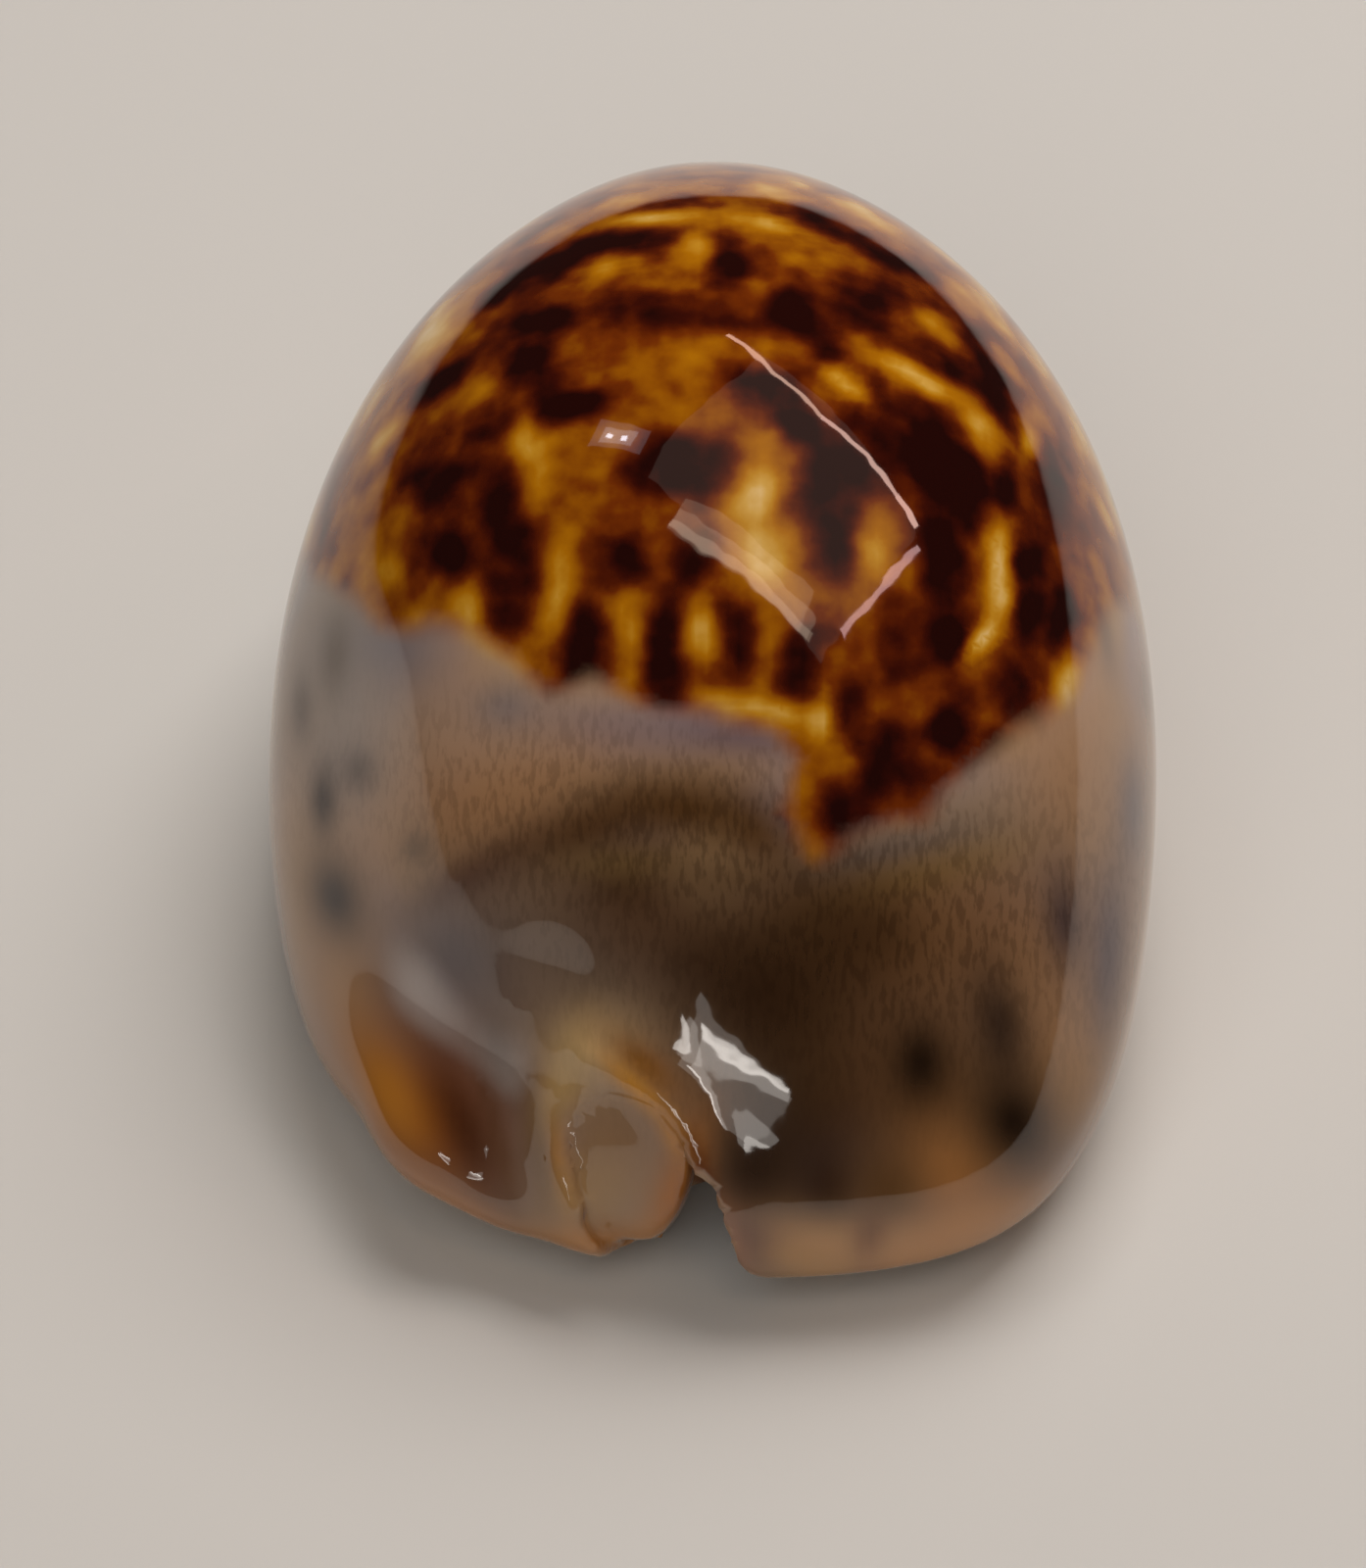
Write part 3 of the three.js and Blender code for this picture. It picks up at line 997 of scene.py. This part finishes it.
@dataclass
class Markings:
    """Works out the shell's markings at every vertex: as seen in the photo, and alike where unseen."""

    view: PhotoView
    points: Array
    normals: Array

    def __post_init__(self) -> None:
        """Finds each vertex in the picture, and how far the picture can be trusted there."""
        self.column, self.row = self.view.pixels(self.points)
        facing = self.view.facing(self.points, self.normals)
        self.seen = ramp(*FACING_SEEN, facing)
        self.clear = ramp(*FACING_CLEAR, facing)
        self.hidden = 0.3 + 0.7 * ramp(0.05, 0.3, -facing)
        hollow = HOLLOW.distance(self.points)
        self.inner = 1 - ramp(0.3, 1.2, hollow)

    def scattered(self, count: int, small: float, large: float, seed: int, where: Array) -> Array:
        """Random soft spots.

        Args:
            count: How many.
            small: Smallest half size in mm.
            large: Largest half size in mm.
            seed: Which scatter.
            where: Which vertices may be the middle of a spot.

        Returns:
            Cover from 0 to 1 at each vertex.
        """
        rng = np.random.default_rng(seed)
        clear = np.ones(len(self.points))
        places = self.points[where]
        for _ in range(count):
            centre = places[rng.integers(len(places))]
            size = rng.uniform(small, large)
            stretch = np.array([1.0, rng.uniform(0.6, 1.0), 1.0])
            square = (((self.points - centre) * stretch / size) ** 2).sum(1)
            clear *= 1 - np.exp(-0.7 * square) * rng.uniform(0.7, 1)
        return 1 - clear

    def upper(self) -> Array:
        """Which vertices are on the outside of the back.

        Returns:
            True or false at each vertex.
        """
        return (self.points[:, 2] > UPPER_FROM_Z) & (self.normals[:, 2] > 0) & (self.inner < 0.5)

    def dark(self) -> Array:
        """Cover of the dark blotches of the back.

        Returns:
            From 0 to 1 at each vertex.
        """
        seen = together(DARK_MARKS, self.column, self.row)
        unseen = self.scattered(300, 1.0, 2.7, RANDOM_SEED, self.upper())
        return seen * self.clear + unseen * (1 - self.clear) * self.hidden

    def cream(self) -> Array:
        """Cover of the pale flecks of the back.

        Returns:
            From 0 to 1 at each vertex.
        """
        seen = together(CREAM_MARKS, self.column, self.row)
        unseen = self.scattered(170, 0.7, 1.7, RANDOM_SEED + 1, self.upper())
        return seen * self.clear + unseen * (1 - self.clear) * 0.8

    def callus(self) -> Array:
        """How far the callus covers the back's pattern.

        Returns:
            From 0, pattern, to 1, callus.
        """
        edge = np.array(PATTERN_EDGE, float)
        distance = np.full(len(self.column), np.inf)
        inside = np.zeros(len(self.column), bool)
        for a, b in zip(edge, np.roll(edge, -1, axis=0)):
            along = b - a
            offset = np.stack([self.column, self.row], 1) - a
            share = np.clip(offset @ along / (along @ along), 0, 1)
            distance = np.minimum(distance, np.linalg.norm(offset - share[:, None] * along, axis=1))
            crossing = (a[1] > self.row) != (b[1] > self.row)
            if b[1] != a[1]:
                inside ^= crossing & (self.column < a[0] + (self.row - a[1]) * along[0] / along[1])
        signed = np.where(inside, -distance, distance)
        wave = (lattice_noise(self.points, 3.0, RANDOM_SEED + 2) - 0.5) * 26
        seen = ramp(-16, 16, signed + wave)
        x, y, z = self.points.T
        turn = np.degrees(np.arctan2(np.abs(x), z - 8))
        limit = 62 - 12 * ramp(-4, -16, y)
        past = np.maximum((turn - limit) * 0.35, np.abs(y + 2) - 26)
        ragged = (lattice_noise(self.points, 5.0, RANDOM_SEED + 6) - 0.5) * 7
        unseen = ramp(-1.5, 1.5, past + wave / 10 + ragged)
        return seen * self.seen + unseen * (1 - self.seen)

    @staticmethod
    def over(colour: Array, code: str, cover: Array) -> Array:
        """Lays a colour over others.

        Args:
            colour: What is there.
            code: The colour laid on, six hex digits.
            cover: From 0 to 1 at each vertex.

        Returns:
            Linear colour at each vertex.
        """
        share = cover[:, None]
        return colour * (1 - share) + np.array(linear(code)) * share

    def wash(self) -> Array:
        """Soft colour of the callus, base and inside, with a painted sheen, a painted dark reflection and
        painted highlight lines on the callus.

        Returns:
            Linear colour and alpha at each vertex.
        """
        unseen = 1 - self.seen
        below = -self.normals[:, 2]
        colour = np.array(linear(PALE_CALLUS))
        clouds = lattice_noise(self.points, 7.0, RANDOM_SEED + 3)
        colour = self.over(colour, LILAC_CALLUS, ramp(0.3, 0.7, clouds))
        clouds = lattice_noise(self.points, 5.0, RANDOM_SEED + 4)
        colour = self.over(colour, SAND_CALLUS, ramp(0.45, 0.8, clouds))
        for wash in WASHES_AND_PAINTED_LIGHT:
            colour = self.over(colour, wash.colour, wash.mark.cover(self.column, self.row) * self.seen)
        colour = self.over(colour, PEACH_MARGIN, ramp(9, 3, self.points[:, 2]) * unseen)
        colour = self.over(colour, BASE_ENAMEL, ramp(0.3, 0.8, below) * unseen)
        for wash in DIM_SPOTS:
            colour = self.over(colour, wash.colour, wash.mark.cover(self.column, self.row) * self.seen)
        spots = self.scattered(90, 1.0, 2.2, RANDOM_SEED + 5, self.inner < 0.5)
        colour = self.over(colour, MARGIN_SPOT, spots * unseen * ramp(0.85, 0.4, below) * 0.8)
        colour = self.over(colour, HOLLOW_WALL, self.inner)
        return np.concatenate([colour, np.ones((len(colour), 1))], 1)

    def grain(self) -> Array:
        """Strength of the fine lines in the brown callus above the notch.

        Returns:
            From 0 to 1 at each vertex.
        """
        return together(GRAINED, self.column, self.row) * self.seen


class Finish(Enum):
    """Material slots of the record."""

    SHELL = "shell"


@dataclass
class NodeTree:
    """Small helper that adds shader nodes with settings and links."""

    tree: bpy.types.NodeTree

    def add(self, kind: str, settings: Optional[dict] = None, **inputs: object) -> bpy.types.Node:
        """Adds one node.

        Args:
            kind: Node type.
            settings: Properties to set.
            **inputs: Values or sockets by input name, with underscores for spaces.

        Returns:
            The node.
        """
        node = self.tree.nodes.new(kind)
        for name, value in (settings or {}).items():
            setattr(node, name, value)
        for name, value in inputs.items():
            self.put(node.inputs[name.replace("_", " ")], value)
        return node

    def put(self, socket: bpy.types.NodeSocket, value: object) -> None:
        """Sets an input, or links a socket to it.

        Args:
            socket: The input.
            value: A number, a colour or another node's output.
        """
        if isinstance(value, bpy.types.NodeSocket):
            self.tree.links.new(value, socket)
        else:
            socket.default_value = value

    def attribute(self, name: str, output: str = "Fac") -> bpy.types.NodeSocket:
        """Reads a mesh attribute.

        Args:
            name: The attribute.
            output: Which output.

        Returns:
            The output socket.
        """
        return self.add("ShaderNodeAttribute", {"attribute_name": name}).outputs[output]

    def sums(
        self, operation: str, first: object, second: object, third: object = 0.0
    ) -> bpy.types.NodeSocket:
        """One step of arithmetic.

        Args:
            operation: The Math node's operation.
            first: First value or socket.
            second: Second value or socket.
            third: Third value or socket.

        Returns:
            The result.
        """
        node = self.add("ShaderNodeMath", {"operation": operation})
        for socket, value in zip(node.inputs, (first, second, third)):
            self.put(socket, value)
        return node.outputs[0]

    def between(self, value: object, low: float, high: float) -> bpy.types.NodeSocket:
        """Smooth ramp from 0 at low to 1 at high.

        Args:
            value: Where to take it.
            low: Start.
            high: End.

        Returns:
            The ramp's value.
        """
        node = self.add(
            "ShaderNodeMapRange",
            {"interpolation_type": "SMOOTHSTEP"},
            Value=value,
            From_Min=low,
            From_Max=high,
        )
        return node.outputs["Result"]

    def mix(self, share: object, first: object, second: object) -> bpy.types.NodeSocket:
        """Mixes two colours.

        Args:
            share: How much of the second.
            first: First colour.
            second: Second colour.

        Returns:
            The mixed colour.
        """
        node = self.add("ShaderNodeMix", {"data_type": "RGBA"})
        self.put(node.inputs[0], share)
        self.put(node.inputs[6], first)
        self.put(node.inputs[7], second)
        return node.outputs[2]

    def tones(self, value: object, stops: Sequence[tuple[float, str]]) -> bpy.types.NodeSocket:
        """Runs a value through a row of colours.

        Args:
            value: Where along the row.
            stops: Places and colours, from the lowest place up.

        Returns:
            The colour.
        """
        node = self.add("ShaderNodeValToRGB", None, Fac=value)
        row = node.color_ramp.elements
        for index, (place, colour) in enumerate(stops):
            stop = row[index] if index < 2 else row.new(place)
            stop.position = place
            stop.color = (*linear(colour), 1)
        return node.outputs["Color"]

    def noise(
        self, place: object, size_mm: float, detail: float = 2.0, stretch: Point = (1, 1, 1)
    ) -> bpy.types.NodeSocket:
        """Noise with lumps of a real size.

        Args:
            place: Object coordinates, in metres.
            size_mm: Size of the lumps.
            detail: Octaves.
            stretch: Scale along each axis.

        Returns:
            The noise, from 0 to 1.
        """
        mapping = self.add("ShaderNodeMapping", None, Vector=place, Scale=stretch)
        scale = 1 / (size_mm * MM)
        vector = mapping.outputs[0]
        return self.add("ShaderNodeTexNoise", None, Vector=vector, Scale=scale, Detail=detail).outputs["Fac"]


@dataclass(frozen=True)
class Enamel:
    """Cowry enamel: coloured callus and tortoiseshell back under a clear, mirror-smooth glaze."""

    tones: tuple[tuple[float, str], ...] = (
        (0.115, "220502"),
        (0.165, "390b02"),
        (0.215, "521801"),
        (0.27, "722e02"),
        (0.33, "925002"),
        (0.41, "ae6c04"),
        (0.48, "c08720"),
        (0.55, "d0a048"),
        (0.64, "e2be80"),
    )
    ground_tone: float = 0.34
    cream_gain: float = 0.34
    blotch_gain: float = -0.27
    fine_gain: float = 0.16
    clouds_gain: float = 0.3
    glaze_roughness: float = 0.03
    body_roughness: float = 0.42

    def build(self) -> bpy.types.Material:
        """Makes the material.

        Returns:
            The material.
        """
        material = bpy.data.materials.new("cowry_enamel")
        material.use_nodes = True
        nodes = NodeTree(material.node_tree)
        nodes.tree.nodes.clear()
        place = nodes.add("ShaderNodeTexCoord").outputs["Object"]
        colour = nodes.mix(nodes.attribute("callus"), self.back(nodes, place), self.callus(nodes, place))
        bump = self.bump(nodes, place)
        shader = nodes.add(
            "ShaderNodeBsdfPrincipled",
            None,
            Base_Color=colour,
            Roughness=self.body_roughness,
            Coat_Weight=1.0,
            Coat_Roughness=self.glaze_roughness,
            Coat_IOR=1.65,
            Coat_Normal=bump,
        )
        nodes.put(shader.inputs["Specular IOR Level"], 0.0)
        nodes.add("ShaderNodeOutputMaterial", None, Surface=shader.outputs[0])
        return material

    def back(self, nodes: NodeTree, place: object) -> object:
        """Colour of the tortoiseshell back.

        Args:
            nodes: Where the nodes go.
            place: Object coordinates.

        Returns:
            The colour.
        """
        fine = nodes.sums("SUBTRACT", nodes.noise(place, 1.6, 3.0), 0.5)
        clouds = nodes.sums("SUBTRACT", nodes.noise(place, 2.4, 1.0), 0.5)
        tone = nodes.sums("MULTIPLY_ADD", nodes.attribute("cream"), self.cream_gain, self.ground_tone)
        tone = nodes.sums("MULTIPLY_ADD", nodes.attribute("blotch"), self.blotch_gain, tone)
        tone = nodes.sums("MULTIPLY_ADD", fine, self.fine_gain, tone)
        tone = nodes.sums("MULTIPLY_ADD", clouds, self.clouds_gain, tone)
        return nodes.tones(tone, self.tones)

    def callus(self, nodes: NodeTree, place: object) -> object:
        """Colour of the callus, with the painted sheen, painted reflection and painted highlights in its
        wash, and its fine lines.

        Args:
            nodes: Where the nodes go.
            place: Object coordinates.

        Returns:
            The colour.
        """
        wash = nodes.attribute("wash", "Color")
        lines = nodes.noise(place, 0.5, 3.0, (1.6, 0.5, 0.5))
        shade = nodes.sums("MULTIPLY", nodes.between(lines, 0.45, 0.62), nodes.attribute("grain"))
        dimmed = nodes.mix(0.5, wash, (*linear("241204"), 1))
        return nodes.mix(nodes.sums("MULTIPLY", shade, 0.75), wash, dimmed)

    def bump(self, nodes: NodeTree, place: object) -> object:
        """Faint unevenness of the glaze.

        Args:
            nodes: Where the nodes go.
            place: Object coordinates.

        Returns:
            The normal.
        """
        height = nodes.noise(place, 4.0, 2.0)
        return nodes.add(
            "ShaderNodeBump", None, Height=height, Strength=0.25, Distance=0.12 * MM
        ).outputs["Normal"]


@dataclass
class Shell:
    """The shell's surface, with its markings as mesh attributes."""

    form: ShellForm
    view: PhotoView
    shift: Point

    def build(self) -> bpy.types.Object:
        """Makes the shell.

        Returns:
            The shell object, in metres, at the origin.
        """
        vertices, quads = SurfaceNets(self.form, CELL_MM, GRID_LOW, GRID_HIGH).build()
        gradient = self.form.gradient(vertices)
        normals = gradient / np.maximum(np.linalg.norm(gradient, axis=1, keepdims=True), 1e-9)
        mesh = bpy.data.meshes.new("shell_surface")
        mesh.from_pydata(((vertices + np.array(self.shift)) * MM).tolist(), [], quads.tolist())
        mesh.polygons.foreach_set("use_smooth", np.ones(len(mesh.polygons), bool))
        marks = Markings(self.view, vertices, normals)
        self.store(mesh, "blotch", marks.dark())
        self.store(mesh, "cream", marks.cream())
        self.store(mesh, "callus", marks.callus())
        self.store(mesh, "grain", marks.grain())
        colours = mesh.attributes.new("wash", "FLOAT_COLOR", "POINT")
        colours.data.foreach_set("color", marks.wash().astype(np.float32).ravel())
        mesh.normals_split_custom_set_from_vertices(normals.tolist())
        mesh.materials.append(Enamel().build())
        shell = bpy.data.objects.new("cowry_shell", mesh)
        bpy.context.scene.collection.objects.link(shell)
        LOG.info("shell: %d vertices, %d quads", len(vertices), len(quads))
        return shell

    @staticmethod
    def store(mesh: bpy.types.Mesh, name: str, values: Array) -> None:
        """Stores one number a vertex.

        Args:
            mesh: The mesh.
            name: The attribute's name.
            values: The numbers.
        """
        mesh.attributes.new(name, "FLOAT", "POINT").data.foreach_set("value", values.astype(np.float32))


def way(azimuth_deg: float, elevation_deg: float) -> Vector:
    """Direction from the shell.

    Args:
        azimuth_deg: 0 on the camera's side, 90 on the right.
        elevation_deg: Height above the floor.

    Returns:
        Unit vector.
    """
    azimuth, elevation = math.radians(azimuth_deg), math.radians(elevation_deg)
    level = math.cos(elevation)
    return Vector((math.sin(azimuth) * level, -math.cos(azimuth) * level, math.sin(elevation)))


@dataclass(frozen=True)
class Softbox:
    """One soft studio light, placed by the directions of its two ends from the shell."""

    name: str
    start: tuple[float, float]
    end: tuple[float, float]
    thickness: float
    brightness: float
    colour: str = "ffffff"
    distance: float = 1.0
    mirrored: bool = True

    def build(self) -> bpy.types.Object:
        """Makes the light.

        Returns:
            The light object.
        """
        start, end = way(*self.start) * self.distance, way(*self.end) * self.distance
        middle = (start + end) / 2
        along = (end - start).normalized()
        outward = middle.normalized()
        data = bpy.data.lights.new(self.name, "AREA")
        data.shape = "RECTANGLE"
        data.size = (end - start).length
        data.size_y = self.thickness
        data.energy = self.brightness * math.pi * data.size * data.size_y
        data.color = linear(self.colour)
        light = bpy.data.objects.new(self.name, data)
        turn = Matrix((along, outward.cross(along), outward)).transposed().to_4x4()
        light.matrix_world = Matrix.Translation(middle) @ turn
        light.visible_glossy = self.mirrored
        bpy.context.scene.collection.objects.link(light)
        return light


@dataclass
class Studio:
    """Plain pale floor, soft lights and the photograph's camera."""

    view: PhotoView
    shift: Point
    floor_colour: str = "c9c4bd"
    floor_radius: float = 3.0
    lights: tuple[Softbox, ...] = (
        Softbox("key_soft", (150, 42), (150, 82), 0.6, 5.2, distance=0.9, mirrored=False),
        Softbox("fill_front", (-20, 30), (-20, 70), 0.8, 1.75, distance=1.2, mirrored=False),
        Softbox("roof_panel", (-169, 78), (64, 54), 0.67, 0.28, "ffe8d8"),
        Softbox("roof_edge_back", (176, 58), (151, 65), 0.018, 7.0, "ffd0b8"),
        Softbox("roof_edge_top", (151, 65), (122, 64), 0.018, 7.0, "ffd0b8"),
        Softbox("roof_edge_right", (122, 64), (97, 50), 0.022, 8.0, "ffd0c0"),
        Softbox("roof_edge_corner", (97, 50), (92, 46), 0.03, 9.0, "ffd0c0"),
        Softbox("roof_edge_front", (88, 46), (45, 55), 0.018, 5.0, "ffd0d0"),
        Softbox("roof_band", (-31, 75), (33, 57), 0.03, 1.6, "ffe4c8"),
        Softbox("roof_band_soft", (-31, 76), (34, 58), 0.07, 1.2, "ffe4c8"),
        Softbox("roof_band_wide", (-31, 77), (35, 60), 0.12, 0.9, "ffe4c8"),
        Softbox("lamp_left", (-112, 66), (-111, 67.5), 0.018, 12.0, "e8f0ff"),
        Softbox("lamp_left_small", (-110, 70), (-110, 71.5), 0.022, 12.0, "e8f0ff"),
        Softbox("lamp_left_glow", (-112, 65), (-110, 73), 0.06, 1.6, "e8f0ff"),
        Softbox("lamp_left_halo", (-113, 63), (-108, 76), 0.1, 0.6, "e8f0ff"),
        Softbox("window_panel", (-8, 23), (4, 14), 0.13, 1.3, "f0e8e0"),
        Softbox("window_edge_right", (-6, 23), (6, 18), 0.014, 7.0, "fff8f0"),
        Softbox("window_glow_right", (-6, 22), (6, 17), 0.035, 2.2, "fff8f0"),
        Softbox("window_edge_left", (-10, 23), (2, 10), 0.014, 6.0, "fff8f0"),
        Softbox("window_glow_left", (-9, 23), (3, 11), 0.035, 1.8, "fff8f0"),
    )

    def build(self) -> None:
        """Makes the floor, lights, world and camera."""
        self.floor()
        for light in self.lights:
            light.build()
        world = bpy.data.worlds.new("studio")
        world.use_nodes = True
        world.node_tree.nodes["Background"].inputs["Color"].default_value = (*linear("8a8884"), 1)
        world.node_tree.nodes["Background"].inputs["Strength"].default_value = 0.08
        bpy.context.scene.world = world
        bpy.context.scene.view_settings.view_transform = "Standard"
        self.camera()

    def floor(self) -> None:
        """Makes the floor disc."""
        count = 64
        corners = [
            (
                self.floor_radius * math.cos(2 * math.pi * i / count),
                self.floor_radius * math.sin(2 * math.pi * i / count),
                0.0,
            )
            for i in range(count)
        ]
        mesh = bpy.data.meshes.new("floor")
        mesh.from_pydata(corners, [], [list(range(count))])
        material = bpy.data.materials.new("pale_floor")
        material.use_nodes = True
        shader = material.node_tree.nodes["Principled BSDF"]
        shader.inputs["Base Color"].default_value = (*linear(self.floor_colour), 1)
        shader.inputs["Roughness"].default_value = 0.8
        shader.inputs["Specular IOR Level"].default_value = 0.1
        mesh.materials.append(material)
        floor = bpy.data.objects.new("floor", mesh)
        bpy.context.scene.collection.objects.link(floor)

    def camera(self) -> None:
        """Makes the camera at the photograph's angle."""
        right, up, back = self.view.directions()
        data = bpy.data.cameras.new("photo_camera")
        data.sensor_width = self.view.film_mm
        data.lens = self.view.focal_px * self.view.film_mm / self.view.height
        data.dof.use_dof = False
        camera = bpy.data.objects.new("photo_camera", data)
        turn = Matrix((right, up, back)).transposed().to_4x4()
        place = (np.array(self.view.place) + np.array(self.shift)) * MM
        camera.matrix_world = Matrix.Translation(Vector(place)) @ turn
        bpy.context.scene.collection.objects.link(camera)
        bpy.context.scene.camera = camera


SHIFT: Point = (0.054, -0.242, 0.0)


def main() -> None:
    """Builds the shell on the frame, and the studio round it."""
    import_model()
    view = PhotoView()
    shell = Shell(ShellForm(), view, SHIFT).build()
    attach(shell, "root")
    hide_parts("shell")
    Studio(view, SHIFT).build()


if __name__ == "__main__":
    main()
